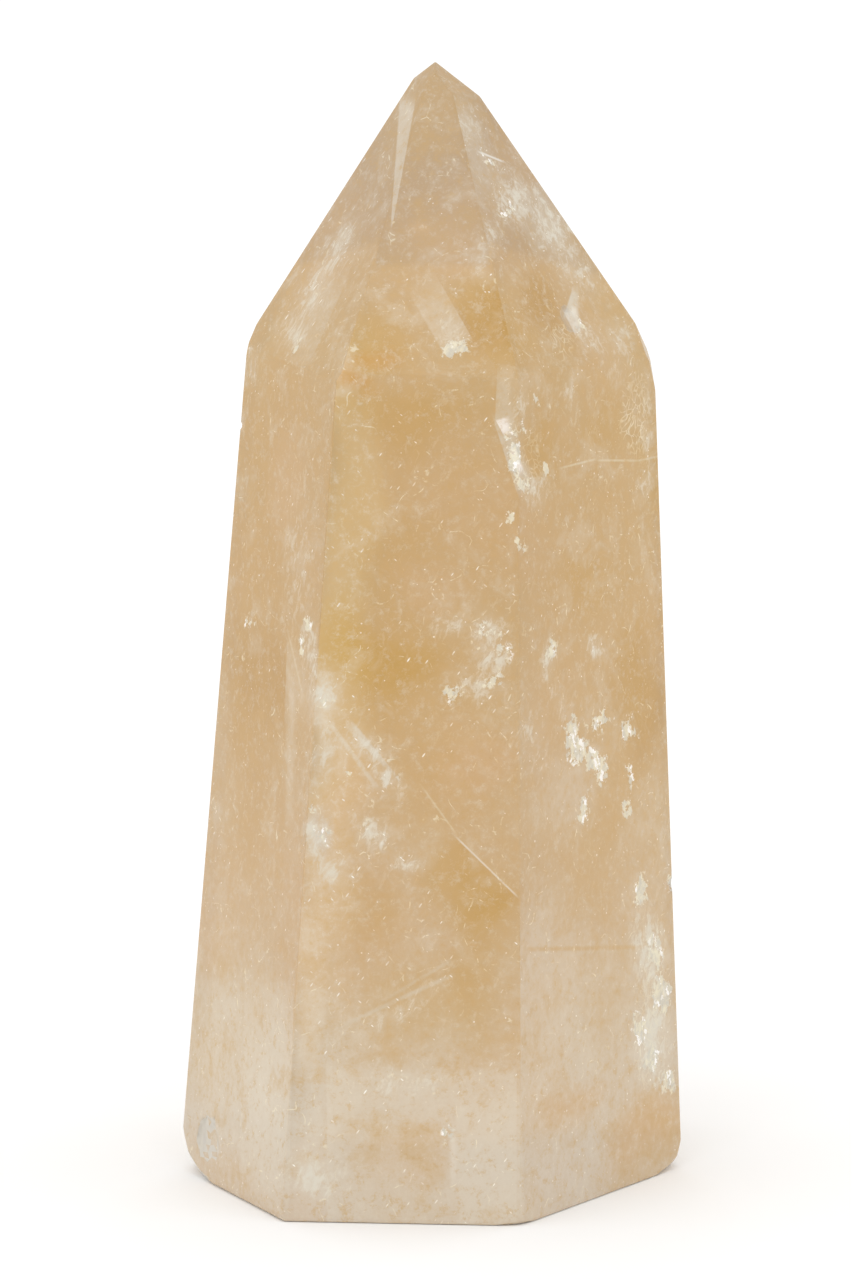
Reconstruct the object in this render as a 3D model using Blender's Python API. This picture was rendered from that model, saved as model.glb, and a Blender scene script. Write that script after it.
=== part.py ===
"""A polished citrine crystal point: one six-sided quartz crystal, ground flat at the foot and to a tip.

The stone is made as a lapidary makes it. A block is trimmed by one flat after another: the foot, six
long sides that lean in as they rise, six point faces, then the small flats of the foot, the shoulders
and the tip. One corner of the foot is worn round, the polish eases every edge, and the chips and the
raw pit are scooped out. It is all one piece of quartz, so it is one object.

Metres, +Z up. The origin is on the foot, under the tip, and the front side faces -Y.
"""

import math
from typing import NamedTuple

import bmesh
import bpy
from mathutils import Matrix, Vector, noise

MM = 0.001

# Driving sizes, in millimetres.
TIP_HEIGHT = 100.0  # from the foot to the tip
TIP_OFFSET = 0.10  # how far the tip is to +X of the axis
SHOULDER_HEIGHT = 75.0  # about where the sides turn into the point
BLOCK_SIDE = 60.0  # side of the rough block
EDGE_ROUND = 0.20  # how far the polish eases an ordinary edge
FOOT_ROUND = 0.35  # how far it eases the edges of the foot
EDGE_STEPS = 3  # strips across an eased edge
SOFTEST_EDGE = 25.0  # degrees: edges that turn less than this are left alone
SCOOP_DETAIL = 3  # subdivisions of the ball that cuts a chip


class Flat(NamedTuple):
    """One ground flat: where it faces, how it leans, and how far out it is at one height."""

    name: str
    bearing: float  # degrees anticlockwise from +X, seen from above
    run: float  # millimetres that it moves in for each millimetre of rise
    reach: float  # millimetres from the axis, at the height below
    height: float = 0.0


class Scoop(NamedTuple):
    """One chip or pit in a flat: an oval ball sunk into it."""

    name: str
    flat: str
    along: float  # millimetres sideways from the middle of the flat, to the right as one faces it
    height: float
    size: tuple  # the ball's radii: sideways, up the flat, and into it
    depth: float  # how deep the ball is sunk
    ripple: float  # how uneven the broken surface is


# The six long sides. The front is the widest that shows, and each leans by its own amount.
SIDES = (
    Flat("front", -94.4, 0.0490, 20.95),
    Flat("front_right", -34.4, 0.0322, 18.48),
    Flat("back_right", 25.6, 0.0338, 20.09),
    Flat("back", 85.6, 0.0420, 19.40),
    Flat("back_left", 146.2, 0.0650, 18.50),
    Flat("front_left", -153.8, 0.0800, 20.94),
)

# The six faces of the point, placed where the sides turn into it.
POINT_FACES = (
    Flat("point_front", -93.2, 0.632, 17.10, SHOULDER_HEIGHT),
    Flat("point_front_right", -34.0, 0.566, 15.75, SHOULDER_HEIGHT),
    Flat("point_back_right", 25.6, 0.616, 17.13, SHOULDER_HEIGHT),
    Flat("point_back", 85.6, 0.598, 16.24, SHOULDER_HEIGHT),
    Flat("point_back_left", 146.2, 0.536, 14.14, SHOULDER_HEIGHT),
    Flat("point_front_left", -152.9, 0.558, 14.71, SHOULDER_HEIGHT),
)

# The tip was blunted by four flatter strokes, all through the tip itself.
TIP_STROKES = (
    ("tip_front_right", -30.0, 1.10),
    ("tip_back_right", 40.0, 0.98),
    ("tip_back_left", 130.0, 0.84),
    ("tip_front_left", -150.0, 1.11),
)

# Small flats where corners were eased on the wheel: round the shoulders, and along two foot edges.
EASED_CORNERS = (
    Flat("shoulder_right", -4.4, 0.385, 18.60, 74.5),
    Flat("shoulder_right_low", -4.4, 0.190, 19.30, 72.0),
    Flat("shoulder_left", 176.0, 0.420, 16.35, 75.0),
    Flat("shoulder_left_low", 176.0, 0.210, 16.54, 74.0),
    Flat("shoulder_back", 116.0, 0.330, 17.45, 75.0),
    Flat("foot_front_left", -153.8, -0.65, 20.62),
    Flat("foot_back_left", 146.2, -0.90, 18.05),
)

# Foot corners that are worn round: the sides that meet there, and the radius.
WORN_CORNERS = (
    ("front", "front_right", 0.9),
    ("front_right", "back_right", 1.7),
    ("back_left", "front_left", 2.7),
)
WORN_SHARES = (0.3, 0.5, 0.7)  # how far round the corner each flat faces
WORN_DIPS = (12.0, 32.0, 52.0)  # degrees below level

SCOOPS = (
    Scoop("point_chip", "point_front_right", 0.5, 78.2, (1.35, 1.75, 1.0), 0.42, 0.16),
    Scoop("foot_pit", "front_left", -3.6, 3.9, (2.9, 2.5, 0.9), 0.35, 0.30),
    Scoop("upper_left_nick", "front_left", -7.7, 67.6, (0.9, 0.5, 0.6), 0.30, 0.10),
    Scoop("lower_left_nick", "front_left", -8.6, 42.9, (0.7, 0.5, 0.5), 0.26, 0.10),
    Scoop("right_nick", "front_right", 11.9, 26.0, (0.6, 0.7, 0.5), 0.28, 0.10),
    Scoop("back_chip", "point_back", 2.0, 79.0, (1.5, 1.1, 0.9), 0.35, 0.16),
    Scoop("back_edge_nick", "back_right", 8.9, 44.0, (0.7, 1.0, 0.6), 0.30, 0.12),
)


def outward_of(bearing):
    """The level direction that a bearing stands for."""
    return Vector((math.cos(math.radians(bearing)), math.sin(math.radians(bearing)), 0.0))


def plane_of(flat):
    """A point of the flat, in metres, and its outward normal."""
    outward = outward_of(flat.bearing)
    point = (outward * flat.reach + Vector((0.0, 0.0, flat.height))) * MM
    return point, (outward + Vector((0.0, 0.0, flat.run))).normalized()


def tip_flats():
    """The strokes that blunt the tip, as flats."""
    for name, bearing, run in TIP_STROKES:
        yield Flat(name, bearing, run, outward_of(bearing).x * TIP_OFFSET, TIP_HEIGHT)


def grind(bm, point, normal):
    """Trims the stone at a plane and closes it again with one face."""
    everything = bm.verts[:] + bm.edges[:] + bm.faces[:]
    cut = bmesh.ops.bisect_plane(
        bm, geom=everything, dist=1e-7, plane_co=point, plane_no=normal, clear_outer=True
    )
    rim = [part for part in cut["geom_cut"] if isinstance(part, bmesh.types.BMEdge)]
    if rim:
        bmesh.ops.contextual_create(bm, geom=rim)


def wear_corner(bm, first, second, radius):
    """Wears a foot corner round: small flats that touch one ball, which rests in the corner inside."""
    planes = [plane_of(first), plane_of(second), (Vector(), Vector((0.0, 0.0, -1.0)))]
    normals = Matrix([normal for _, normal in planes])
    inset = Vector([normal.dot(point) - radius * MM for point, normal in planes])
    centre = normals.inverted() @ inset
    turn = (second.bearing - first.bearing + 180.0) % 360.0 - 180.0
    for share in WORN_SHARES:
        for dip in WORN_DIPS:
            level = outward_of(first.bearing + turn * share) * math.cos(math.radians(dip))
            outward = level - Vector((0.0, 0.0, math.sin(math.radians(dip))))
            grind(bm, centre + outward * (radius * MM), outward)


def ground_stone():
    """The stone with all its flats and sharp edges."""
    bm = bmesh.new()
    bmesh.ops.create_cube(bm, size=1.0)
    block = Vector((BLOCK_SIDE, BLOCK_SIDE, 2.0 * TIP_HEIGHT)) * MM
    bmesh.ops.scale(bm, vec=block, verts=bm.verts)
    bmesh.ops.translate(bm, vec=(0.0, 0.0, TIP_HEIGHT * MM), verts=bm.verts)
    for flat in (*SIDES, *POINT_FACES, *tip_flats(), *EASED_CORNERS):
        grind(bm, *plane_of(flat))
    sides = {side.name: side for side in SIDES}
    for first, second, radius in WORN_CORNERS:
        wear_corner(bm, sides[first], sides[second], radius)
    bmesh.ops.recalc_face_normals(bm, faces=bm.faces)
    return bm


def weigh_edges(bm):
    """Says how far each edge is eased, as a share of the foot's rounding, for the Bevel modifier."""
    weight = bm.edges.layers.float.new("bevel_weight_edge")
    for edge in bm.edges:
        at_foot = max(vert.co.z for vert in edge.verts) < 0.5 * MM
        if math.degrees(edge.calc_face_angle()) > SOFTEST_EDGE:
            edge[weight] = 1.0 if at_foot else EDGE_ROUND / FOOT_ROUND


def new_object(name, bm):
    """A scene object from a bmesh."""
    mesh = bpy.data.meshes.new(name)
    bm.to_mesh(mesh)
    bm.free()
    made = bpy.data.objects.new(name, mesh)
    bpy.context.scene.collection.objects.link(made)
    return made


def scoop_ball(scoop, flats):
    """The cutter that breaks one chip out: an uneven ball, its axis square to the flat."""
    point, normal = plane_of(flats[scoop.flat])
    sideways = Vector((0.0, 0.0, 1.0)).cross(normal).normalized()
    up_flat = normal.cross(sideways)
    rise = (scoop.height * MM - point.z) / up_flat.z
    centre = point + sideways * (scoop.along * MM) + up_flat * rise
    centre += normal * ((scoop.size[2] - scoop.depth) * MM)
    bm = bmesh.new()
    bmesh.ops.create_icosphere(bm, subdivisions=SCOOP_DETAIL, radius=1.0)
    for vert in bm.verts:
        vert.co *= 1.0 + scoop.ripple * noise.noise(vert.co * 2.3 + Vector((scoop.height, 0.0, 0.0)))
    turn = Matrix((sideways, up_flat, normal)).transposed().to_4x4()
    size = Matrix.Diagonal((*[radius * MM for radius in scoop.size], 1.0))
    bmesh.ops.transform(bm, matrix=Matrix.Translation(centre) @ turn @ size, verts=bm.verts)
    ball = new_object(scoop.name, bm)
    ball.hide_render = True
    ball.display_type = "WIRE"
    return ball


def citrine():
    """The see-through amber finish of the stone."""
    material = bpy.data.materials.new("citrine")
    material.use_nodes = True
    shader = material.node_tree.nodes["Principled BSDF"]
    shader.inputs["Base Color"].default_value = (0.72, 0.50, 0.27, 1.0)
    shader.inputs["Roughness"].default_value = 0.08
    shader.inputs["Metallic"].default_value = 0.0
    shader.inputs["IOR"].default_value = 1.55
    shader.inputs["Transmission Weight"].default_value = 0.6
    return material


def main():
    for old in list(bpy.data.objects):
        bpy.data.objects.remove(old)

    bm = ground_stone()
    weigh_edges(bm)
    stone = new_object("citrine_point", bm)
    stone.data.materials.append(citrine())

    ease = stone.modifiers.new("eased_edges", "BEVEL")
    ease.limit_method = "WEIGHT"
    ease.offset_type = "OFFSET"
    ease.width = FOOT_ROUND * MM
    ease.segments = EDGE_STEPS

    flats = {flat.name: flat for flat in (*SIDES, *POINT_FACES)}
    for scoop in SCOOPS:
        chip = stone.modifiers.new(scoop.name, "BOOLEAN")
        chip.operation = "DIFFERENCE"
        chip.object = scoop_ball(scoop, flats)


main()
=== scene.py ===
"""The looks of a polished citrine crystal point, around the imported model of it."""

import math
import random

import bmesh
import bpy
import numpy as np
from mathutils import Matrix, Vector, noise


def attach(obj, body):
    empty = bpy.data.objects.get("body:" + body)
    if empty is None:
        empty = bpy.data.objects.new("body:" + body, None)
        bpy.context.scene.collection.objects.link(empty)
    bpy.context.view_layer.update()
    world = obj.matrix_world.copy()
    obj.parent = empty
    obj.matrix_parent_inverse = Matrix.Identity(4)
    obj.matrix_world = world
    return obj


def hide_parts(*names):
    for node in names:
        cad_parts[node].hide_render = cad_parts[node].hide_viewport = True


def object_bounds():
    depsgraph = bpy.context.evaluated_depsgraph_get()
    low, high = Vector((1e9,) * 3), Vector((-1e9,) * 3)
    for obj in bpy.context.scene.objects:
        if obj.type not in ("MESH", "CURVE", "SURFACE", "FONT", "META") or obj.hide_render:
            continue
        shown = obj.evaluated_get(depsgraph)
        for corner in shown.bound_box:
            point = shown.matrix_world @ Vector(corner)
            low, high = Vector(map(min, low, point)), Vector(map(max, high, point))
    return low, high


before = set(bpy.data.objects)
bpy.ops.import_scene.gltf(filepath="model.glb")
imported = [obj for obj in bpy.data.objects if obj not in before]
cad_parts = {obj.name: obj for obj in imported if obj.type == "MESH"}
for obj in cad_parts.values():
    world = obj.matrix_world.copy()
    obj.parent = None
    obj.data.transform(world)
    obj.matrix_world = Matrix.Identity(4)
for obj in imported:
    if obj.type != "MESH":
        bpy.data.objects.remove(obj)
cad_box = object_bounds()


# The crystal: one piece of quartz, ground to flats and polished all over. The solid's own faces are
# kept, and divided finely enough to carry the clouds of colour in the stone, corner by corner.

MM = 0.001
CELL = 0.9 * MM
FIRST_CUT = 0.43  # in cells, so that no cut falls on a face of the foot
SAME_POINT = 0.001 * MM
ON_THE_CUT = 0.0001 * MM
STILL_FLAT = math.radians(0.4)

bm = bmesh.new()
bm.from_mesh(bpy.data.objects["citrine_point"].data)
bmesh.ops.remove_doubles(bm, verts=bm.verts, dist=SAME_POINT)
bmesh.ops.dissolve_limit(bm, angle_limit=STILL_FLAT, verts=bm.verts, edges=bm.edges)
for axis, (low, high) in enumerate(zip(*cad_box)):
    way = [float(other == axis) for other in range(3)]
    for step in range(int((high - low) / CELL)):
        cut = [(low + (step + FIRST_CUT) * CELL) * along for along in way]
        everything = [*bm.verts, *bm.edges, *bm.faces]
        bmesh.ops.bisect_plane(bm, geom=everything, plane_co=cut, plane_no=way, dist=ON_THE_CUT)
bmesh.ops.triangulate(bm, faces=bm.faces)
for face in bm.faces:
    face.smooth = True
crystal_mesh = bpy.data.meshes.new("polished_crystal")
bm.to_mesh(crystal_mesh)
bm.free()
crystal = bpy.data.objects.new("polished_crystal", crystal_mesh)
bpy.context.scene.collection.objects.link(crystal)
flat_faces = crystal.modifiers.new("flat_faces", "WEIGHTED_NORMAL")
flat_faces.weight = 100


def shade(red, green, blue):
    """A colour as it is seen, 0 to 255, as the light it gives off."""
    seen = [value / 255.0 for value in (red, green, blue)]
    return (*[((value + 0.055) / 1.055) ** 2.4 if value > 0.04 else value / 12.92 for value in seen], 1.0)


# Colours of the stone, and GLEAM, the white of painted flashes of light.
PEACH = shade(206, 174, 133)
HONEY = shade(200, 166, 112)
GOLD = shade(193, 155, 83)
AMBER = shade(181, 142, 78)
ORANGE = shade(198, 146, 66)
MILKY = shade(216, 205, 187)
PALE = shade(220, 210, 192)
WHITE = shade(240, 236, 226)
GLEAM = shade(252, 250, 247)
VEIL = shade(214, 208, 193)
FOIL = shade(228, 219, 192)
SILVER = shade(198, 194, 182)
ASH = shade(188, 184, 180)

# How the stone's own colour runs, from the foot to the tip.
TONES = (
    (0.0, shade(210, 197, 180)),
    (12.0, shade(208, 193, 171)),
    (17.0, shade(206, 187, 159)),
    (24.0, shade(204, 180, 146)),
    (40.0, shade(201, 175, 137)),
    (55.0, shade(196, 167, 121)),
    (76.0, shade(195, 166, 119)),
    (86.0, shade(190, 161, 124)),
    (100.0, shade(184, 161, 133)),
)

# Which way each flat faces: its bearing, and how far it leans back.
FLATS = {
    "front": (-94.0, 3.0),
    "front_right": (-34.0, 2.0),
    "back_right": (26.0, 2.0),
    "back": (86.0, 2.0),
    "back_left": (146.0, 4.0),
    "front_left": (-154.0, 5.0),
    "front_point": (-93.0, 32.0),
    "front_right_point": (-34.0, 30.0),
    "back_right_point": (26.0, 32.0),
    "back_point": (86.0, 31.0),
    "back_left_point": (146.0, 28.0),
    "front_left_point": (-153.0, 29.0),
}
LEFT = ("front_left", "front_left_point")
RIGHT = ("front_right", "front_right_point")

# Spots of colour: colour, strength, centre, size, turn in degrees about Y, and the flats they show on.
TINTS = (
    # The gold heart of the stone, and the amber seen through its sides.
    (GOLD, 0.95, (-3.8, -18.3, 49.2), (7.0, 9.0, 4.6), -14.0, ("front",)),
    (GOLD, 0.50, (-8.0, -18.3, 50.5), (4.0, 9.0, 5.0), 0.0, ("front",)),
    (GOLD, 0.25, (-4.0, -17.5, 60.0), (6.0, 8.0, 9.0), 0.0, ("front",)),
    (AMBER, 0.55, (-17.2, -5.0, 44.5), (3.4, 7.0, 8.4), 0.0, LEFT),
    (AMBER, 0.80, (18.2, -4.0, 43.6), (5.0, 9.0, 9.0), 0.0, RIGHT),
    (GOLD, 0.50, (13.5, -9.0, 55.0), (4.0, 7.0, 3.0), 0.0, RIGHT),
    # The amber windows of the point, painted views of the far faces seen through the stone, and the gold
    # below them.
    (AMBER, 0.90, (4.8, -14.6, 79.4), (3.8, 7.0, 4.8), -30.0, ("front_point",)),
    (AMBER, 0.70, (9.0, -9.4, 80.0), (4.0, 7.0, 4.8), 0.0, RIGHT),
    (AMBER, 0.25, (12.6, -7.0, 76.6), (4.0, 7.0, 4.0), 0.0, RIGHT),
    (GOLD, 0.55, (-5.0, -15.0, 77.0), (4.5, 7.0, 4.5), 0.0, ("front_point",)),
    (GOLD, 0.60, (-2.0, -18.0, 70.5), (8.0, 7.0, 3.8), 0.0, ("front",)),
    (GOLD, 0.60, (10.0, -14.0, 67.5), (2.6, 6.0, 3.5), 0.0, RIGHT),
    (GOLD, 0.50, (15.5, -7.0, 69.0), (3.4, 6.0, 4.0), 0.0, RIGHT),
    (GOLD, 0.40, (17.6, -4.6, 46.0), (3.4, 6.0, 8.0), 0.0, RIGHT),
    # Two rusty streaks at the left shoulder.
    (ORANGE, 0.75, (-6.2, -17.4, 73.6), (2.4, 5.0, 1.5), 20.0, ("front", "front_point")),
    (ORANGE, 0.55, (-5.0, -17.0, 75.9), (2.6, 5.0, 1.3), -20.0, ("front", "front_point")),
    # The lower front, and the broad tones of the two sides.
    (GOLD, 0.65, (3.6, -19.6, 29.0), (3.8, 7.0, 4.6), 30.0, ("front",)),
    (GOLD, 0.55, (4.2, -20.0, 22.5), (3.8, 7.0, 9.0), 0.0, ("front",)),
    (GOLD, 0.35, (-5.5, -19.6, 29.0), (3.4, 7.0, 3.5), 0.0, ("front",)),
    (GOLD, 0.30, (-1.5, -20.0, 20.0), (7.0, 7.0, 5.0), 0.0, ("front",)),
    (HONEY, 0.75, (-14.5, -8.0, 54.0), (9.0, 14.0, 38.0), 0.0, ("front_left",)),
    (AMBER, 0.28, (-14.5, -8.0, 54.0), (9.0, 14.0, 34.0), 0.0, ("front_left",)),
    (HONEY, 0.40, (14.0, -9.0, 50.0), (12.0, 16.0, 34.0), 0.0, ("front_right",)),
    # The milky foot, with two warmer windows in it.
    (MILKY, 0.40, (-13.5, -14.0, 10.0), (4.0, 9.0, 14.0), 0.0, ("front_left",)),
    (MILKY, 0.30, (-18.5, -8.0, 12.0), (4.0, 9.0, 11.0), 0.0, ("front_left",)),
    (MILKY, 0.50, (8.5, -17.0, 20.0), (9.0, 12.0, 13.0), 0.0, ("front_right",)),
    (MILKY, 0.45, (12.0, -13.0, 37.0), (6.0, 8.0, 6.0), 30.0, ("front_right",)),
    (PEACH, 0.85, (19.0, -4.0, 4.5), (5.0, 9.0, 4.5), 0.0, ("front_right",)),
    (PEACH, 0.70, (12.0, -13.0, 9.5), (6.0, 9.0, 2.6), 0.0, ("front_right",)),
    (PEACH, 0.85, (-2.5, -20.8, 6.0), (6.0, 9.0, 4.5), -14.0, ("front",)),
    # Paler, pinker places on the flats and the point, and grey where breaks lie deep.
    (PEACH, 0.50, (-13.0, -12.0, 64.0), (3.0, 9.0, 6.0), 10.0, ("front_left",)),
    (PEACH, 0.50, (1.0, -18.0, 56.0), (6.0, 9.0, 3.0), 20.0, ("front",)),
    (PEACH, 0.60, (-8.0, -18.0, 38.0), (3.0, 9.0, 8.0), 0.0, ("front", "front_left")),
    (ASH, 0.55, (-9.9, -18.6, 34.2), (1.6, 4.0, 3.4), -10.0, ("front", "front_left")),
    (ASH, 0.30, (13.3, -6.0, 78.2), (1.4, 4.0, 2.0), -20.0, RIGHT),
    (PALE, 0.40, (-10.2, -17.6, 45.0), (2.2, 4.0, 2.6), 0.0, ("front", "front_left")),
    (PEACH, 0.75, (3.0, -18.0, 41.0), (6.0, 9.0, 5.0), -30.0, ("front",)),
    (PALE, 0.30, (3.0, -6.0, 93.0), (4.0, 7.0, 6.0), 0.0, ("front_right_point",)),
    (PEACH, 0.60, (8.0, -3.0, 82.5), (6.0, 7.0, 3.5), 0.0, ("front_right_point",)),
    (PEACH, 0.60, (1.0, -11.0, 85.0), (5.0, 7.0, 4.0), 0.0, ("front_point",)),
    (PALE, 0.40, (12.0, -4.0, 87.0), (3.0, 6.0, 7.5), -32.0, RIGHT),
)

# Veils: thin clouds of bubbles, each a strength, a centre, a size, a turn and the flats it shows on.
VEILS = (
    # The point.
    (0.70, (10.4, -2.1, 85.6), (3.4, 6.0, 6.4), -30.0, RIGHT),
    (0.70, (6.8, -4.0, 88.4), (3.0, 6.0, 3.6), -45.0, RIGHT),
    (0.50, (13.4, -3.0, 81.6), (2.4, 6.0, 4.2), -32.0, RIGHT),
    (0.50, (3.0, -4.0, 95.0), (2.4, 6.0, 3.4), -32.0, RIGHT),
    (0.55, (4.6, -9.0, 86.5), (2.0, 6.0, 2.4), -40.0, RIGHT),
    (0.50, (-10.7, -5.4, 80.2), (2.4, 6.0, 4.4), 34.0, LEFT),
    (0.60, (-12.6, -6.4, 76.9), (2.4, 6.0, 2.6), 34.0, LEFT),
    (0.55, (-8.2, -4.4, 84.4), (1.8, 6.0, 5.0), 30.0, LEFT),
    (0.55, (-16.4, -3.0, 73.5), (1.6, 6.0, 4.0), 0.0, LEFT),
    (0.45, (-14.0, -5.0, 82.0), (1.4, 6.0, 5.0), 34.0, LEFT),
    # The front's left edge, and the streaks that run down from it.
    (0.70, (-10.8, -16.6, 50.0), (1.5, 5.0, 5.6), -14.0, ("front_left",)),
    (0.72, (-9.8, -17.9, 46.6), (2.2, 4.0, 2.6), 0.0, ("front", "front_left")),
    (0.45, (-10.0, -18.0, 42.0), (2.0, 4.0, 5.0), 0.0, ("front", "front_left")),
    (0.75, (-5.6, -18.6, 42.0), (1.6, 4.0, 3.4), -32.0, ("front",)),
    (0.85, (-4.2, -18.7, 39.4), (1.4, 4.0, 2.8), -32.0, ("front",)),
    (0.50, (-7.6, -18.7, 42.4), (2.6, 4.0, 1.2), 20.0, ("front",)),
    (0.90, (-10.2, -18.5, 34.0), (1.6, 4.0, 3.2), -10.0, ("front", "front_left")),
    (0.85, (-5.3, -18.9, 34.6), (3.2, 4.0, 1.3), 34.0, ("front",)),
    (0.65, (-2.6, -18.9, 32.4), (3.0, 4.0, 1.2), 34.0, ("front",)),
    (0.50, (-8.6, -18.9, 31.0), (3.0, 4.0, 2.0), 20.0, ("front", "front_left")),
    (0.65, (-2.9, -19.9, 18.9), (6.5, 5.0, 1.0), -31.0, ("front",)),
    (0.80, (-10.6, -19.9, 4.2), (4.6, 6.0, 3.0), 28.0, ("front", "front_left")),
    # The middle of the front, and the sparkles right of it.
    (0.70, (5.0, -18.9, 51.2), (2.2, 5.0, 4.8), -8.0, ("front",)),
    (0.50, (4.0, -18.9, 47.6), (3.4, 5.0, 1.8), 14.0, ("front",)),
    (0.45, (1.4, -18.9, 53.0), (2.0, 5.0, 2.0), -40.0, ("front",)),
    (0.80, (9.9, -15.7, 49.4), (1.3, 4.0, 3.2), 0.0, ("front_right",)),
    (0.95, (14.2, -9.5, 49.4), (1.2, 4.0, 1.4), 0.0, ("front_right",)),
    (0.60, (12.8, -11.5, 47.0), (0.8, 4.0, 1.6), 0.0, ("front_right",)),
    (0.45, (11.0, -14.0, 45.0), (0.7, 4.0, 5.0), -24.0, ("front_right",)),
    (0.50, (7.6, -17.0, 43.6), (3.2, 4.0, 3.6), -30.0, ("front", "front_right")),
    (0.40, (8.6, -16.0, 40.2), (4.0, 5.0, 1.4), 10.0, ("front", "front_right")),
    # The right side, from the foot up.
    (0.75, (18.8, -3.4, 20.5), (2.8, 6.0, 7.0), -4.0, ("front_right",)),
    (0.95, (19.6, -3.4, 12.6), (2.8, 6.0, 6.0), -8.0, ("front_right",)),
    (0.30, (19.0, -1.4, 66.5), (1.6, 5.0, 7.5), 0.0, ("front_right",)),
    (0.95, (18.8, -1.6, 63.1), (1.0, 4.0, 1.4), 0.0, ("front_right",)),
    (0.45, (7.4, -17.4, 71.6), (1.4, 4.0, 4.0), -10.0, ("front", "front_right")),
    (0.60, (9.2, -16.0, 64.8), (3.4, 4.0, 2.0), 0.0, ("front", "front_right")),
    (0.40, (12.0, -11.0, 72.0), (0.9, 4.0, 5.0), 0.0, ("front_right",)),
    (0.45, (14.2, -6.4, 76.4), (2.6, 4.0, 2.8), -20.0, RIGHT),
    (0.55, (16.4, -3.6, 75.6), (2.0, 5.0, 2.6), -20.0, RIGHT),
    (0.40, (15.8, -6.0, 73.6), (2.2, 4.0, 1.8), 0.0, RIGHT),
    # The left side, the foot and the foot of the point.
    (0.30, (-12.0, -13.0, 58.0), (3.4, 6.0, 12.0), 4.0, ("front_left",)),
    (0.45, (-3.2, -20.2, 12.6), (8.0, 5.0, 1.6), 0.0, ("front",)),
    (0.50, (3.7, -10.5, 84.0), (0.8, 4.0, 4.6), 6.0, ("front_point",)),
    (0.60, (1.4, -15.4, 78.0), (1.8, 4.0, 2.2), -30.0, ("front_point",)),
)
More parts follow.
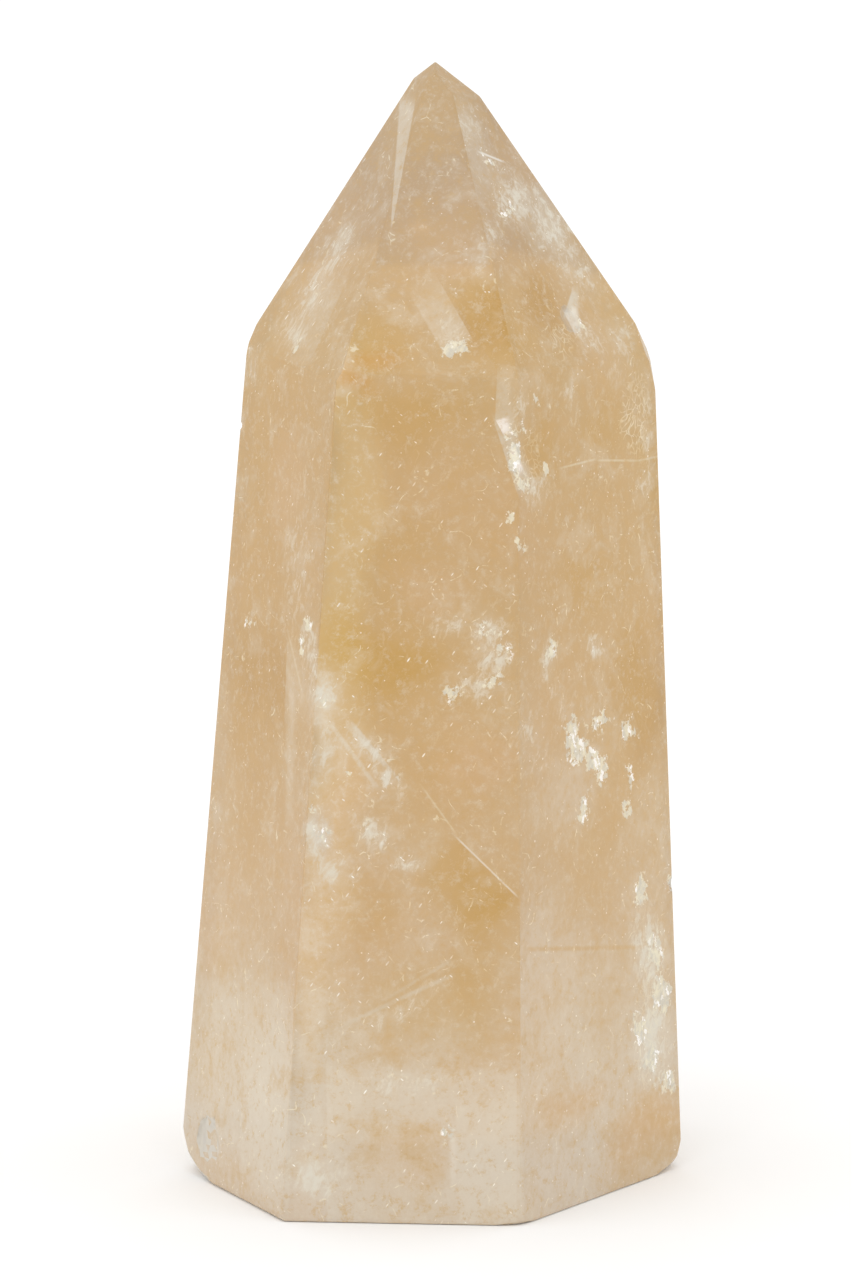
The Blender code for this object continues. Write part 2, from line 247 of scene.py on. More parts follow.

# Open breaks, pale in themselves, with the white flash of light they reflect painted on: a strength, a
# centre, a size, a turn and the flats they show on.
GLINTS = (
    # The long fracture below the point, and the patch above it.
    (0.60, (6.8, -18.0, 69.2), (0.9, 3.0, 2.2), -14.0, ("front", "front_right")),
    (0.60, (7.2, -18.1, 67.2), (0.8, 3.0, 2.0), -18.0, ("front", "front_right")),
    (0.60, (8.0, -17.4, 65.2), (0.9, 3.0, 1.6), -24.0, ("front", "front_right")),
    (0.60, (8.0, -17.2, 70.0), (0.6, 3.0, 1.2), 0.0, ("front_right",)),
    (0.95, (9.7, -14.8, 66.2), (0.55, 2.0, 0.9), 0.0, ("front_right",)),
    (0.80, (9.2, -15.1, 72.0), (0.55, 2.0, 0.8), 0.0, ("front_right",)),
    (0.80, (6.3, -18.4, 63.3), (0.55, 2.0, 1.1), 20.0, ("front",)),
    (0.75, (7.2, -18.4, 60.4), (0.6, 2.0, 1.7), -20.0, ("front", "front_right")),
    (0.80, (1.9, -15.6, 77.1), (2.2, 3.0, 0.9), -16.0, ("front_point",)),
    # The middle of the front.
    (0.45, (4.6, -18.9, 52.6), (1.4, 3.0, 1.8), -30.0, ("front",)),
    (0.62, (5.4, -19.0, 47.9), (2.0, 3.0, 0.7), -10.0, ("front",)),
    (0.50, (6.0, -19.0, 50.4), (0.9, 3.0, 3.0), -6.0, ("front",)),
    (0.55, (1.4, -19.0, 47.0), (0.8, 3.0, 1.8), 0.0, ("front",)),
    (0.45, (2.6, -19.0, 47.6), (2.6, 3.0, 0.6), 0.0, ("front",)),
    # The foil-like breaks of the right side.
    (1.00, (10.0, -15.3, 50.2), (0.90, 3.0, 2.0), 0.0, ("front_right",)),
    (1.00, (12.5, -12.0, 41.6), (1.5, 4.0, 3.6), -12.0, ("front_right",)),
    (1.00, (14.0, -9.8, 39.0), (1.1, 4.0, 3.8), -22.0, ("front_right",)),
    (0.95, (15.0, -9.2, 42.4), (1.1, 4.0, 1.5), 20.0, ("front_right",)),
    (0.90, (16.8, -6.1, 41.0), (1.0, 4.0, 1.5), -14.0, ("front_right",)),
    (0.75, (17.2, -5.6, 37.4), (0.6, 3.0, 2.2), -10.0, ("front_right",)),
    (0.70, (17.0, -5.8, 33.6), (0.7, 3.0, 2.0), -10.0, ("front_right",)),
    (0.70, (13.0, -11.6, 35.2), (1.0, 3.0, 2.8), -10.0, ("front_right",)),
    # The left side, and the streaks at the left edge.
    (0.95, (-11.4, -15.0, 50.3), (0.8, 3.0, 0.9), 0.0, ("front_left",)),
    (0.85, (-16.4, -5.0, 50.6), (0.6, 3.0, 1.2), 30.0, ("front_left",)),
    (0.75, (-11.0, -15.4, 52.4), (0.5, 3.0, 1.2), -30.0, ("front_left",)),
    (0.85, (-10.6, -18.0, 36.8), (0.6, 3.0, 0.9), 0.0, ("front", "front_left")),
    (0.40, (-9.6, -18.6, 34.0), (1.3, 3.0, 2.6), -20.0, ("front",)),
    (0.52, (-5.4, -18.9, 34.8), (2.4, 3.0, 0.8), 34.0, ("front",)),
    (0.50, (-4.2, -18.7, 40.2), (0.6, 3.0, 2.4), -42.0, ("front",)),
    (0.60, (-9.8, -17.9, 46.2), (1.0, 3.0, 0.9), 0.0, ("front", "front_left")),
    (0.75, (-7.4, -18.6, 40.0), (1.8, 3.0, 0.5), -24.0, ("front",)),
    # The right edge, above the foot.
    (0.85, (19.7, -2.6, 20.4), (1.3, 3.0, 2.6), -10.0, ("front_right",)),
    (1.00, (20.5, -2.0, 16.4), (1.2, 4.0, 3.0), -10.0, ("front_right",)),
    (0.90, (18.2, -4.4, 14.0), (1.1, 4.0, 3.0), -16.0, ("front_right",)),
    (0.75, (19.6, -3.0, 11.0), (1.2, 4.0, 2.0), -16.0, ("front_right",)),
    (1.00, (20.8, -1.6, 8.2), (1.0, 4.0, 1.6), -30.0, ("front_right",)),
    (0.90, (18.4, -4.8, 25.8), (1.2, 4.0, 1.8), -20.0, ("front_right",)),
    (1.00, (20.9, -0.7, 26.3), (0.6, 2.0, 1.0), 0.0, ("front_right",)),
    # The point, and one at the foot.
    (0.75, (6.0, -4.6, 87.8), (1.6, 4.0, 1.2), 50.0, RIGHT),
    (0.70, (4.6, -5.6, 92.0), (1.0, 4.0, 1.4), -40.0, RIGHT),
    (0.50, (13.0, -6.4, 77.6), (0.9, 3.0, 1.4), -20.0, RIGHT),
    (0.60, (-12.6, -7.0, 75.4), (0.5, 3.0, 2.0), 30.0, LEFT),
    (0.60, (-8.6, -17.0, 75.0), (1.6, 3.0, 0.6), -30.0, ("front_left", "front_point")),
    (0.70, (1.2, -20.8, 8.2), (0.5, 2.0, 1.2), 0.0, ("front",)),
)

# How much of the light goes on into the stone, from the foot to the tip, and the spots that are cloudier.
CLEARNESS = ((0.0, 0.14), (12.0, 0.18), (24.0, 0.34), (70.0, 0.34), (82.0, 0.18), (100.0, 0.14))
CLOUDED = (
    (1.00, (-8.6, -18.0, 50.0), (4.0, 6.0, 90.0), 3.0, ("front", "front_point")),
    (0.30, (-16.0, -10.0, 10.0), (8.0, 16.0, 14.0), 0.0, ("front_left",)),
    (1.00, (10.6, 17.0, 50.0), (4.6, 6.0, 90.0), -1.0, ("back", "back_point")),
)

# Where the stone is crackled all through: a strength, a centre, a size, a turn and the flats.
CRACKLED = (
    (0.65, (17.8, -2.8, 69.0), (2.6, 5.0, 5.6), 0.0, ("front_right",)),
    (0.50, (11.0, -9.8, 76.6), (2.2, 5.0, 2.6), 0.0, RIGHT),
    (0.45, (8.6, -16.4, 67.5), (1.8, 5.0, 3.6), 0.0, ("front_right",)),
    (0.40, (19.0, -4.0, 14.0), (2.6, 5.0, 11.0), 0.0, ("front_right",)),
)

# Chips and pits, where the stone broke and was never ground: how dull and where each is, and its reach.
CHIPS = (
    (0.35, (12.7, -6.0, 78.3), 3.0),
    (1.00, (-20.6, -4.3, 3.5), 3.6),
    (1.00, (-17.0, -0.6, 67.9), 1.2),
    (1.00, (-19.1, -0.9, 43.1), 1.2),
    (1.00, (20.9, -0.7, 25.8), 1.2),
)

# Each corner of each face of the divided stone carries its own values. The edges of the spots above
# drift and ripple as in a real stone, from a fixed seed, so that every run gives the same stone.
DRIFT_SEED = 2
STREW_SEED = 7
OFF_A_FLAT = math.radians(5.0)

corner_count = len(crystal_mesh.loops)
corner_points = np.empty(corner_count, dtype=np.int32)
crystal_mesh.loops.foreach_get("vertex_index", corner_points)
points = np.array([vert.co for vert in crystal_mesh.vertices]) / MM
normals = np.array([face.normal for face in crystal_mesh.polygons])
noise.seed_set(DRIFT_SEED)


def waver(size, reach, shift):
    """How far each point of the stone is shifted by a slow, natural drift."""
    here = [Vector(point) / size + Vector((shift, 0.0, 0.0)) for point in points]
    return np.array([noise.noise_vector(place) for place in here]) * reach


drift = waver(size=7.0, reach=2.4, shift=0.0)
ripple = waver(size=1.7, reach=0.7, shift=40.0)
broad = np.array([noise.noise(Vector(point) / 13.0 + Vector((0.0, 70.0, 0.0))) for point in points])
drifted = (points + drift)[corner_points]
rippled = (points + 0.25 * drift + ripple)[corner_points]
bearings = np.radians([bearing for bearing, _ in FLATS.values()])
leans = np.radians([lean for _, lean in FLATS.values()])
flat_ways = np.stack([np.cos(bearings) * np.cos(leans), np.sin(bearings) * np.cos(leans), np.sin(leans)])
likeness = normals @ flat_ways
flat_of_corner = np.repeat(np.argmax(likeness, axis=1), 3)
off_the_flats = np.repeat(np.max(likeness, axis=1), 3) < math.cos(OFF_A_FLAT)


def spot(places, centre, size, turn, flats=None, core=0.25):
    """How strongly each corner lies in a soft oval spot: 1 within its core, and 0 from its edge on."""
    turned = np.array(Matrix.Rotation(math.radians(turn), 3, "Y"))
    away = np.linalg.norm((places - np.array(centre)) @ turned / np.array(size), axis=1)
    share = np.clip((1.0 - away) / (1.0 - core), 0.0, 1.0)
    share = share * share * (3.0 - 2.0 * share)
    if flats:
        share *= np.isin(flat_of_corner, [list(FLATS).index(name) for name in flats])
    return share


# The stone's own colour, warmer and pinker by turns in broad, faint clouds.
tones = np.array([tone for _, tone in TONES])
heights = [height for height, _ in TONES]
stone_colour = np.stack([np.interp(drifted[:, 2], heights, tones[:, part]) for part in range(4)], axis=1)
warmth = np.clip(broad[corner_points] * 0.9, -0.5, 0.5)[:, None]
stone_colour += np.maximum(warmth, 0.0) * (np.array(HONEY) - stone_colour)
stone_colour += np.maximum(-warmth, 0.0) * (np.array(PEACH) - stone_colour)

# The back of the stone is strewn in the same way, with flaws gathered in a few nests.
NESTS = 9
NEST_SPREAD = 5.0
BACK_TINTS = 30
BACK_VEILS = 56
BACK_GLINTS = 46

dice = random.Random(STREW_SEED)
back_points = points[points[:, 1] > 1.0]


def back_place():
    return tuple(back_points[dice.randrange(len(back_points))])


nests = [(back_place(), dice.uniform(-40.0, 40.0)) for _ in range(NESTS)]


def nested(count, weakest, smallest, largest):
    """Spots strewn round the nests: a strength, a place, a size and a turn each."""
    made = []
    for _ in range(count):
        nest, lean = dice.choice(nests)
        aim = np.array(nest) + [dice.gauss(0.0, NEST_SPREAD) for _ in range(3)]
        place = tuple(back_points[np.argmin(np.linalg.norm(back_points - aim, axis=1))])
        size = tuple(dice.uniform(low, high) for low, high in zip(smallest, largest))
        made.append((dice.uniform(weakest, 1.0), place, size, lean + dice.uniform(-15.0, 15.0), None))
    return made


more_tints = [
    (
        dice.choice((GOLD, AMBER, GOLD, PEACH, MILKY, HONEY)),
        dice.uniform(0.4, 0.9),
        back_place(),
        (dice.uniform(3.0, 9.0), dice.uniform(4.0, 8.0), dice.uniform(3.0, 11.0)),
        dice.uniform(-30.0, 30.0),
        None,
    )
    for _ in range(BACK_TINTS)
]
more_veils = nested(BACK_VEILS, weakest=0.45, smallest=(0.9, 1.0, 1.4), largest=(3.2, 4.0, 6.0))
more_glints = nested(BACK_GLINTS, weakest=0.50, smallest=(0.5, 0.6, 0.8), largest=(1.5, 1.6, 3.0))

# What each corner carries: the stone's colour, then four marks (how veiled, how full of open breaks and
# their painted glints, how clear and how dull from a chip), and how crackled it is.
for tint, strength, centre, size, turn, flats in (*TINTS, *more_tints):
    share = strength * spot(drifted, centre, size, turn, flats)[:, None]
    stone_colour += share * (np.array(tint) - stone_colour)
veiled = np.zeros(corner_count)
for strength, centre, size, turn, flats in (*VEILS, *more_veils):
    veiled = np.maximum(veiled, strength * spot(rippled, centre, size, turn, flats, 0.0))
breaks_and_glints = np.zeros(corner_count)
for strength, centre, size, turn, flats in (*GLINTS, *more_glints):
    breaks_and_glints = np.maximum(breaks_and_glints, strength * spot(rippled, centre, size, turn, flats, 0.0))
clear = np.interp(drifted[:, 2], *zip(*CLEARNESS))
for strength, centre, size, turn, flats in CLOUDED:
    clear *= 1.0 - strength * spot(drifted, centre, size, turn, flats)
chipped = np.zeros(corner_count)
for strength, centre, reach in CHIPS:
    near = np.linalg.norm(points[corner_points] - np.array(centre), axis=1) < reach
    chipped[near & off_the_flats] = strength
crackled = np.zeros(corner_count)
for strength, centre, size, turn, flats in CRACKLED:
    crackled = np.maximum(crackled, strength * spot(rippled, centre, size, turn, flats))
marks = np.stack([veiled, breaks_and_glints, clear, chipped], axis=1)
for name, values in (("stone_colour", stone_colour), ("marks", marks)):
    carried = crystal_mesh.attributes.new(name, "FLOAT_COLOR", "CORNER")
    carried.data.foreach_set("color", values.astype(np.float32).ravel())
carried = crystal_mesh.attributes.new("crackled", "FLOAT", "CORNER")
carried.data.foreach_set("value", crackled.astype(np.float32))


class Finish:
    """A material, with short names for adding the nodes that make it."""

    def __init__(self, name):
        self.material = bpy.data.materials.new(name)
        self.material.use_nodes = True
        self.nodes = self.material.node_tree.nodes
        self.shader = self.nodes["Principled BSDF"]
        self.output = self.nodes["Material Output"]

    def join(self, source, target):
        self.material.node_tree.links.new(source, target)

    def put(self, socket, value):
        """Sets a socket to a value, or joins it to another node's output."""
        if isinstance(value, bpy.types.NodeSocket):
            self.join(value, socket)
        else:
            socket.default_value = value

    def set(self, **values):
        """Sets the shader's own sockets, named with _ for each space."""
        for name, value in values.items():
            self.put(self.shader.inputs[name.replace("_", " ")], value)

    def add(self, kind, **settings):
        made = self.nodes.new(kind)
        for name, value in settings.items():
            setattr(made, name, value)
        return made

    def place(self):
        """The place in the stone, in millimetres."""
        where = self.add("ShaderNodeTexCoord").outputs["Object"]
        return self.vector("MULTIPLY", where, (1000.0, 1000.0, 1000.0))

    def layer(self, name, kind="Color"):
        return self.add("ShaderNodeAttribute", attribute_name=name).outputs[kind]

    def parts(self, value, kind="ShaderNodeSeparateXYZ"):
        made = self.add(kind)
        self.join(value, made.inputs[0])
        return tuple(made.outputs)[:3]

    def vector(self, operation, first, second):
        made = self.add("ShaderNodeVectorMath", operation=operation)
        self.put(made.inputs[0], first)
        self.put(made.inputs[1], second)
        return made.outputs["Vector"]

    def math(self, operation, first, second=0.0):
        made = self.add("ShaderNodeMath", operation=operation)
        self.put(made.inputs[0], first)
        self.put(made.inputs[1], second)
        return made.outputs[0]

    def ramp(self, value, low, high, out_low=0.0, out_high=1.0):
        """Runs smoothly from one value to another as the input runs from low to high."""
        made = self.add("ShaderNodeMapRange", interpolation_type="SMOOTHSTEP")
        limits = (value, low, high, out_low, out_high)
        for name, setting in zip(("Value", "From Min", "From Max", "To Min", "To Max"), limits):
            self.put(made.inputs[name], setting)
        return made.outputs["Result"]

    def noise(self, vector, scale, detail, roughness, distortion=0.0, kind="Fac"):
        made = self.add("ShaderNodeTexNoise")
        settings = (vector, scale, detail, roughness, distortion)
        for name, setting in zip(("Vector", "Scale", "Detail", "Roughness", "Distortion"), settings):
            self.put(made.inputs[name], setting)
        return made.outputs[kind]

    def mix(self, factor, first, second):
        """A blend of two colours."""
        made = self.add("ShaderNodeMix", data_type="RGBA")
        self.put(made.inputs[0], factor)
        self.put(made.inputs[6], first)
        self.put(made.inputs[7], second)
        return made.outputs[2]

    def local(self, vector, centre, size, turn):
        """The place as seen from a spot in the stone, in shares of the spot's size."""
        made = self.add("ShaderNodeMapping", vector_type="TEXTURE")
        settings = (vector, centre, tuple(math.radians(angle) for angle in turn), size)
        for name, setting in zip(("Vector", "Location", "Rotation", "Scale"), settings):
            self.put(made.inputs[name], setting)
        return made.outputs["Vector"]

    def pane(self, vector, centre, size, turn, soft, taper):
        """A spot with straight sides, each of which fades over its own share of the half width."""
        across, through, along = self.parts(self.local(vector, centre, size, (0.0, turn, 0.0)))
        if taper:
            width = self.math("ADD", self.math("MULTIPLY", along, taper), 1.0)
            across = self.math("DIVIDE", across, self.math("MAXIMUM", width, 0.02))
        left, right, bottom, top = soft
        cover = self.ramp(self.math("ABSOLUTE", through), 0.9, 1.0, 1.0, 0.0)
        for part, low, high in ((across, left, right), (along, bottom, top)):
            cover = self.math("MULTIPLY", cover, self.ramp(part, -1.0, low - 1.0))
            cover = self.math("MULTIPLY", cover, self.ramp(part, 1.0 - high, 1.0, 1.0, 0.0))
        return cover

    def specks(self, vector, spacing, size, bare):
        """Small round specks of many sizes, one to a cell, with a share of the cells bare."""
        made = self.add("ShaderNodeTexVoronoi")
        self.put(made.inputs["Vector"], vector)
        self.put(made.inputs["Scale"], 1.0 / spacing)
        amount = self.parts(made.outputs["Color"], "ShaderNodeSeparateColor")[0]
        radius = self.ramp(amount, bare, 1.0, 0.0, size / spacing)
        inner = self.math("MULTIPLY", radius, 0.55)
        return self.ramp(made.outputs["Distance"], inner, radius, 1.0, 0.0)


QUARTZ_IOR = 1.545
POLISH_ROUGHNESS = 0.04
CLOUDED_ROUGHNESS = 0.18
BLUE_TAKEN_UP = (0.75, 0.53, 0.12, 1.0)  # what is left of white light deep in the stone
DEPTH_OF_COLOUR = 34.0  # absorption, per metre
SOLE_TOP = 0.06  # millimetres: the underside of the foot, which is ground dull

stone = Finish("polished_citrine")
where = stone.place()
height = stone.parts(where)[2]
veils, glints, clearness = stone.parts(stone.layer("marks"), "ShaderNodeSeparateColor")
colour = stone.layer("stone_colour")

# Straight-sided patches and streaks: a colour, a strength, a centre, a size, a turn, how much fades at
# the left, the right, the bottom and the top, and how much wider the top is than the middle.
PANES = (
    # The blade under the tip, a painted reflection of the far faces seen through the stone; the two
    # shoulders; and the pale patch with gold beside it.
    (PALE, 0.60, (-3.0, -6.0, 92.0), (0.44, 8.0, 5.6), 7.8, (0.3, 0.2, 0.1, 0.3), 0.85),
    (VEIL, 0.24, (-10.5, -7.0, 78.9), (1.4, 6.0, 4.8), 25.0, (0.7, 0.08, 0.5, 0.6), 0.0),
    (VEIL, 0.20, (9.6, -3.5, 86.8), (2.2, 6.0, 3.2), -25.0, (0.15, 0.2, 0.3, 0.6), 0.0),
    (PALE, 0.38, (0.3, -14.2, 79.9), (1.45, 6.0, 3.5), -32.0, (0.15, 0.06, 0.05, 0.9), 0.0),
    (GOLD, 0.35, (5.4, -14.4, 79.3), (2.3, 6.0, 5.0), -34.0, (0.05, 0.95, 0.4, 0.4), 0.0),
    # The foot: a milky front panel and a paler left one, painted views of the far faces seen through the
    # stone.
    (MILKY, 0.45, (-1.1, -20.6, 6.2), (8.4, 2.0, 8.0), 0.0, (0.02, 0.02, 0.12, 0.12), 0.0),
    (PALE, 0.36, (4.9, -20.4, 5.6), (3.0, 3.0, 6.6), -2.0, (0.1, 0.1, 0.3, 0.3), 0.0),
    (WHITE, 0.30, (1.7, -20.6, 6.2), (0.50, 3.0, 3.6), 0.0, (0.9, 0.9, 0.8, 0.8), 0.0),
    (MILKY, 0.22, (-18.2, -9.0, 8.2), (6.2, 14.0, 10.0), 6.0, (0.3, 0.02, 0.3, 0.14), 0.0),
    (PALE, 0.35, (-14.8, -15.0, 11.0), (2.3, 8.0, 10.6), 1.5, (0.12, 0.02, 0.3, 0.25), 0.0),
    # Straight streaks, left and low on the front.
    (VEIL, 0.60, (-5.5, -18.6, 42.0), (0.40, 2.0, 3.4), -42.0, (0.8, 0.4, 0.4, 0.4), 0.5),
    (VEIL, 0.40, (-7.0, -18.5, 41.4), (0.30, 2.0, 4.2), -36.0, (0.8, 0.8, 0.4, 0.5), 0.0),
    (VEIL, 0.45, (-3.6, -19.9, 19.7), (0.30, 2.0, 6.4), 64.0, (0.9, 0.9, 0.6, 0.3), 0.0),
    (VEIL, 0.30, (-1.6, -19.9, 21.6), (0.25, 2.0, 4.0), 58.0, (0.9, 0.9, 0.6, 0.3), 0.0),
    (PALE, 0.40, (-12.6, -14.0, 41.0), (0.60, 4.0, 7.4), 1.0, (0.9, 0.9, 0.4, 0.4), 0.0),
    (AMBER, 0.48, (-16.2, -8.0, 46.6), (3.4, 9.0, 6.6), -5.0, (1.0, 0.04, 0.9, 0.9), 0.0),
    (PALE, 0.34, (-11.6, -15.0, 47.0), (1.5, 6.0, 4.6), -14.0, (0.06, 0.9, 0.9, 0.5), -0.9),
    (FOIL, 0.45, (-12.1, -14.4, 48.6), (0.14, 4.0, 3.0), -15.0, (0.9, 0.9, 0.6, 0.4), 0.0),
    # The gold triangle low on the front, and the crack along its edge.
    (GOLD, 0.55, (2.1, -19.8, 29.3), (3.5, 2.0, 4.6), -46.0, (0.95, 0.03, 0.3, 0.4), 0.0),
    (WHITE, 0.65, (4.6, -19.8, 31.8), (0.13, 2.0, 4.1), -46.0, (0.9, 0.9, 0.3, 0.3), 0.0),
    (FOIL, 0.40, (0.3, -19.4, 36.9), (0.14, 2.0, 3.0), -36.0, (0.9, 0.9, 0.3, 0.6), 0.0),
    # The long fracture, with two white flashes painted on as highlights.
    (VEIL, 0.45, (6.2, -17.4, 73.2), (0.90, 3.0, 3.2), -5.0, (0.12, 1.0, 0.3, 1.0), -0.5),
    (VEIL, 0.60, (7.1, -17.8, 68.0), (1.00, 3.0, 4.4), -18.0, (0.08, 0.9, 0.6, 0.5), 0.0),
    (GLEAM, 0.90, (6.2, -18.0, 70.4), (0.55, 3.0, 0.9), -18.0, (0.1, 0.9, 0.8, 0.3), 0.3),
    (GLEAM, 0.85, (7.2, -18.0, 67.4), (0.34, 3.0, 1.5), -20.0, (0.1, 0.7, 0.7, 0.7), 0.0),
    # The rim of the chip on the point.
    (VEIL, 0.80, (12.3, -5.6, 79.5), (0.60, 3.0, 1.6), 12.0, (0.3, 0.9, 0.5, 0.9), -0.5),
    (WHITE, 0.70, (12.4, -6.6, 77.9), (0.60, 3.0, 1.5), -20.0, (0.2, 0.9, 0.8, 0.5), 0.4),
    # A level crack in three runs, a dark level line lower down, and a splinter at the tip.
    (FOIL, 0.60, (12.4, -10.0, 65.9), (2.0, 4.0, 0.16), 0.0, (0.8, 0.3, 0.9, 0.9), 0.0),
    (FOIL, 0.55, (16.2, -5.0, 65.3), (2.2, 4.0, 0.16), 14.0, (0.3, 0.3, 0.9, 0.9), 0.0),
    (FOIL, 0.50, (18.9, -1.5, 64.8), (1.0, 3.0, 0.16), 2.0, (0.3, 0.1, 0.9, 0.9), 0.0),
    (HONEY, 0.60, (13.6, -11.0, 22.7), (6.4, 9.0, 0.32), 17.0, (0.2, 0.2, 0.9, 0.9), 0.0),
    (WHITE, 0.80, (5.0, -3.0, 92.0), (0.12, 4.0, 1.6), -62.0, (0.9, 0.9, 0.5, 0.5), 0.0),
)
for tint, strength, centre, size, turn, soft, taper in PANES:
    cover = stone.math("MULTIPLY", stone.pane(where, centre, size, turn, soft, taper), strength)
    colour = stone.mix(cover, colour, tint)

# Fine marks: mottling and grain all over, and ragged wisps in the veils.
clouds = stone.noise(where, scale=0.28, detail=5.0, roughness=0.62, distortion=0.6)
colour = stone.mix(stone.ramp(clouds, 0.50, 0.70, 0.0, 0.28), colour, PALE)
colour = stone.mix(stone.ramp(clouds, 0.50, 0.30, 0.0, 0.40), colour, HONEY)
mottle = stone.noise(where, scale=1.1, detail=7.0, roughness=0.80)
colour = stone.mix(stone.ramp(mottle, 0.5, 0.68, 0.0, 0.40), colour, PALE)
colour = stone.mix(stone.ramp(mottle, 0.5, 0.32, 0.0, 0.60), colour, HONEY)
grain = stone.local(where, (0.0, 0.0, 0.0), size=(1.0, 1.0, 1.9), turn=(0.0, 24.0, 0.0))
fibres = stone.noise(grain, scale=1.3, detail=6.0, roughness=0.72, distortion=0.5)
colour = stone.mix(stone.math("MULTIPLY", veils, 0.45), colour, PALE)
strength = stone.math("ADD", veils, stone.ramp(fibres, 0.34, 0.66, -0.55, 0.20))
veil_cover = stone.ramp(strength, 0.0, 0.8, 0.0, 0.82)
colour = stone.mix(veil_cover, colour, VEIL)

# The open breaks: small slanted shards with torn edges, pale as breaks are, with their reflections
# painted on; some flash whiter than the rest, as painted highlights.
SHARD_SIZE = 1.0 / 3.0  # millimetres
shards = stone.add("ShaderNodeTexVoronoi")
slanted = stone.local(where, (0.0, 0.0, 0.0), size=(1.0, 1.0, 2.2), turn=(8.0, -16.0, 0.0))
shake = stone.noise(where, scale=1.5, detail=4.0, roughness=0.65, kind="Color")
stone.put(shards.inputs["Vector"], stone.vector("ADD", slanted, shake))
shards.inputs["Scale"].default_value = 1.0 / SHARD_SIZE
pick, sheen, _ = stone.parts(shards.outputs["Color"], "ShaderNodeSeparateColor")
torn = stone.parts(shake, "ShaderNodeSeparateColor")[1]
ragged = stone.math("MULTIPLY", stone.math("SUBTRACT", torn, 0.5), 2.2)
strength = stone.math("ADD", glints, stone.math("ADD", ragged, stone.math("MULTIPLY", pick, 0.25)))
glint_cover = stone.math("MULTIPLY", stone.ramp(strength, 0.38, 0.56), stone.ramp(glints, 0.03, 0.25))
flash = stone.mix(stone.ramp(fibres, 0.38, 0.62), SILVER, FOIL)
flash = stone.mix(stone.ramp(sheen, 0.80, 0.92), flash, GLEAM)
colour = stone.mix(stone.math("MULTIPLY", glint_cover, 0.80), colour, flash)

# Hairline cracks in short pieces, close together where the stone is crackled: pale lines, partly the
# cracks' own colour and partly a painted highlight where they catch the light.
CRACKS_APART = 4.2  # millimetres
CRACKLE_APART = 0.85
crackle = stone.layer("crackled", "Fac")
dense = stone.math("GREATER_THAN", crackle, 0.25)
slow = stone.noise(where, scale=0.30, detail=1.0, roughness=0.5, kind="Color")
bend = stone.vector("MULTIPLY", slow, (5.0, 5.0, 5.0))
net = stone.add("ShaderNodeTexVoronoi", feature="DISTANCE_TO_EDGE")
stone.put(net.inputs["Vector"], stone.vector("ADD", where, bend))
stone.put(net.inputs["Scale"], stone.ramp(dense, 0.0, 1.0, 1.0 / CRACKS_APART, 1.0 / CRACKLE_APART))
thinness = stone.ramp(dense, 0.0, 1.0, 0.016, 0.09)
line = stone.ramp(stone.math("DIVIDE", net.outputs["Distance"], thinness), 0.4, 1.0, 1.0, 0.0)
crowded = stone.ramp(clouds, 0.44, 0.58, 0.15, 1.0)
sparse = stone.math("MULTIPLY", stone.ramp(torn, 0.50, 0.62, 0.0, 0.6), crowded)
close = stone.math("MULTIPLY", crackle, stone.ramp(fibres, 0.35, 0.60, 0.2, 1.0))
line_cover = stone.math("MULTIPLY", line, stone.ramp(dense, 0.0, 1.0, sparse, close))
colour = stone.mix(line_cover, colour, FOIL)

# Flecks: bubbles and short splinters, more of them where the stone is fibrous or veiled.
tilted = stone.local(where, (0.0, 0.0, 0.0), size=(0.4, 0.4, 1.8), turn=(10.0, 34.0, 0.0))
crossed = stone.local(where, (0.0, 0.0, 0.0), size=(1.8, 0.4, 0.4), turn=(0.0, 38.0, 15.0))
fleck = stone.specks(where, spacing=0.70, size=0.10, bare=0.55)
fleck = stone.math("MAXIMUM", fleck, stone.specks(tilted, spacing=1.2, size=0.21, bare=0.45))
fleck = stone.math("MAXIMUM", fleck, stone.specks(crossed, spacing=1.3, size=0.19, bare=0.45))
crowd = stone.ramp(stone.math("ADD", fibres, stone.math("MULTIPLY", veils, 0.5)), 0.38, 0.66, 0.2, 1.0)
fleck_cover = stone.math("MULTIPLY", fleck, crowd)
colour = stone.mix(stone.math("MULTIPLY", fleck_cover, 0.85), colour, WHITE)

# The chips and the pit are dull and grey, and the underside of the foot is pale and lets no light in.
broken = stone.layer("marks", "Alpha")
colour = stone.mix(stone.math("MULTIPLY", broken, 0.85), colour, stone.mix(fibres, ASH, VEIL))
sole = stone.ramp(height, SOLE_TOP / 3.0, SOLE_TOP, 1.0, 0.0)
colour = stone.mix(sole, colour, PALE)

# Light goes in where nothing covers the surface, and always comes out again from inside.
stone.set(Base_Color=colour, Roughness=CLOUDED_ROUGHNESS, IOR=QUARTZ_IOR, Specular_IOR_Level=0.0)
stone.set(Coat_Weight=0.4, Coat_IOR=QUARTZ_IOR, Coat_Roughness=POLISH_ROUGHNESS)
cover = stone.math("MAXIMUM", veil_cover, stone.math("MAXIMUM", glint_cover, fleck_cover))
cover = stone.math("MAXIMUM", cover, stone.math("MAXIMUM", broken, line_cover))
inward = stone.math("MULTIPLY", stone.math("SUBTRACT", 1.0, cover), clearness)
outward = stone.math("SUBTRACT", stone.add("ShaderNodeNewGeometry").outputs["Backfacing"], sole)
stone.set(Transmission_Weight=stone.math("MAXIMUM", inward, outward))
absorption = stone.add("ShaderNodeVolumeAbsorption")
absorption.inputs["Color"].default_value = BLUE_TAKEN_UP
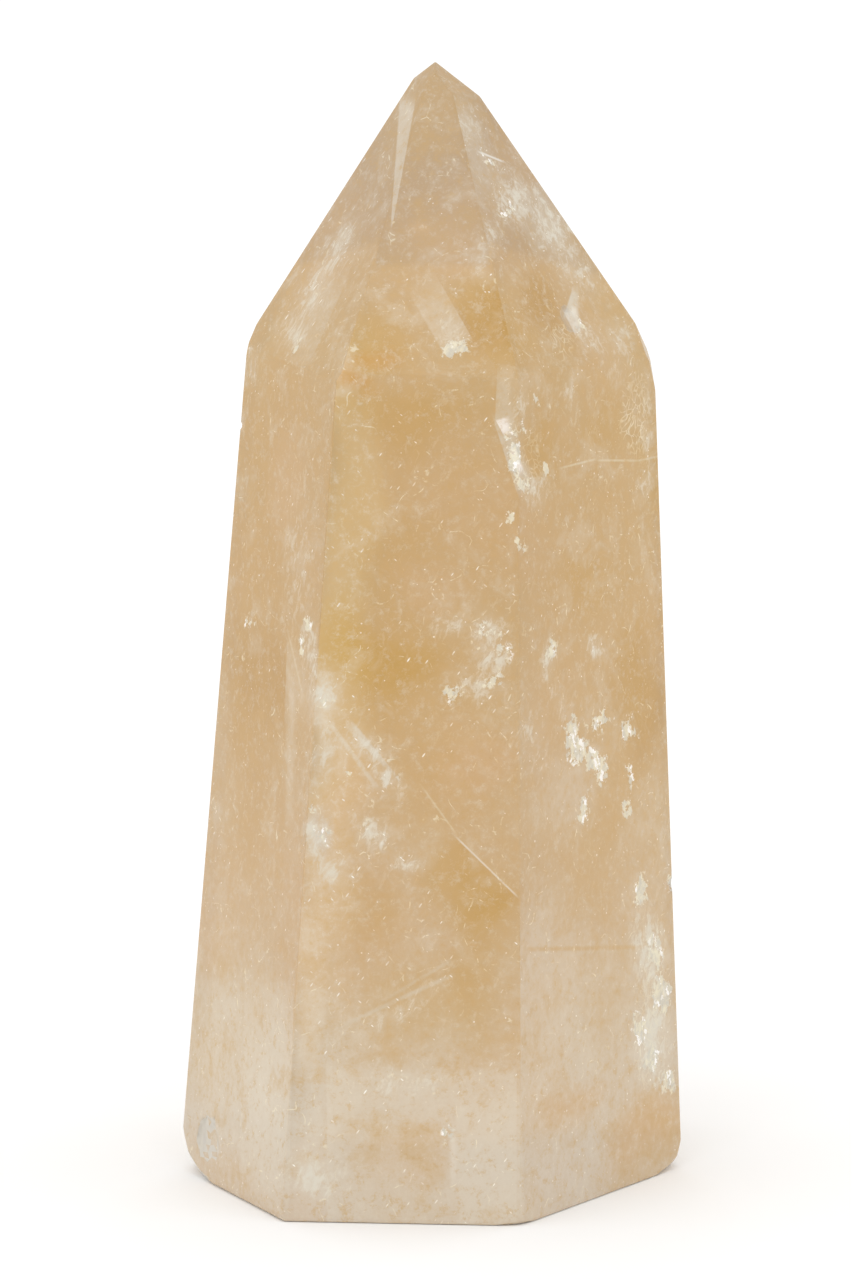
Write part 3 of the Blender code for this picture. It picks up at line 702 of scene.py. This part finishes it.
absorption.inputs["Density"].default_value = DEPTH_OF_COLOUR
stone.join(absorption.outputs[0], stone.output.inputs["Volume"])
crystal.data.materials.append(stone.material)
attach(crystal, "root")
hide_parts("citrine_point")


# The stage: a plain pale floor, soft light from all round with a faint lamp overhead, and a long lens
# that looks slightly down.

FLOOR_SIZE = 8.0
FLOOR_DROP = 0.05 * MM  # so that the floor and the foot don't share a plane

bpy.ops.mesh.primitive_plane_add(size=FLOOR_SIZE, location=(0.0, 0.0, -FLOOR_DROP))
floor = bpy.context.object
floor.name = "floor"
pale = Finish("pale_floor")
pale.set(Base_Color=(0.97, 0.97, 0.97, 1.0), Roughness=0.9, Specular_IOR_Level=0.0)
floor.data.materials.append(pale.material)

room = bpy.data.worlds.new("soft_room")
bpy.context.scene.world = room
room.use_nodes = True
walls = room.node_tree.nodes["Background"]
walls.inputs["Color"].default_value = (1.0, 1.0, 1.0, 1.0)
walls.inputs["Strength"].default_value = 1.1

LAMP_PLACE = Vector((-0.3, -0.5, 1.1))
MIDDLE = Vector((0.0, 0.0, 0.05))
lamp = bpy.data.lights.new("overhead", "AREA")
lamp.shape = "DISK"
lamp.size = 0.8
lamp.energy = 1.0
overhead = bpy.data.objects.new("overhead", lamp)
bpy.context.scene.collection.objects.link(overhead)
overhead.location = LAMP_PLACE
overhead.rotation_euler = (MIDDLE - LAMP_PLACE).to_track_quat("-Z", "Y").to_euler()

CAMERA_DISTANCE = 0.8
CAMERA_ELEVATION = math.radians(10.7)
AIM = Vector((-0.00067, 0.0, 0.0482))
lens = bpy.data.cameras.new("camera")
lens.sensor_width = 36.0
lens.lens = 252.8
lens.clip_start = 0.05
camera = bpy.data.objects.new("camera", lens)
bpy.context.scene.collection.objects.link(camera)
toward = Vector((0.0, -math.cos(CAMERA_ELEVATION), math.sin(CAMERA_ELEVATION)))
camera.location = AIM + toward * CAMERA_DISTANCE
camera.rotation_euler = (-toward).to_track_quat("-Z", "Y").to_euler()
bpy.context.scene.camera = camera
bpy.context.scene.view_settings.view_transform = "Standard"
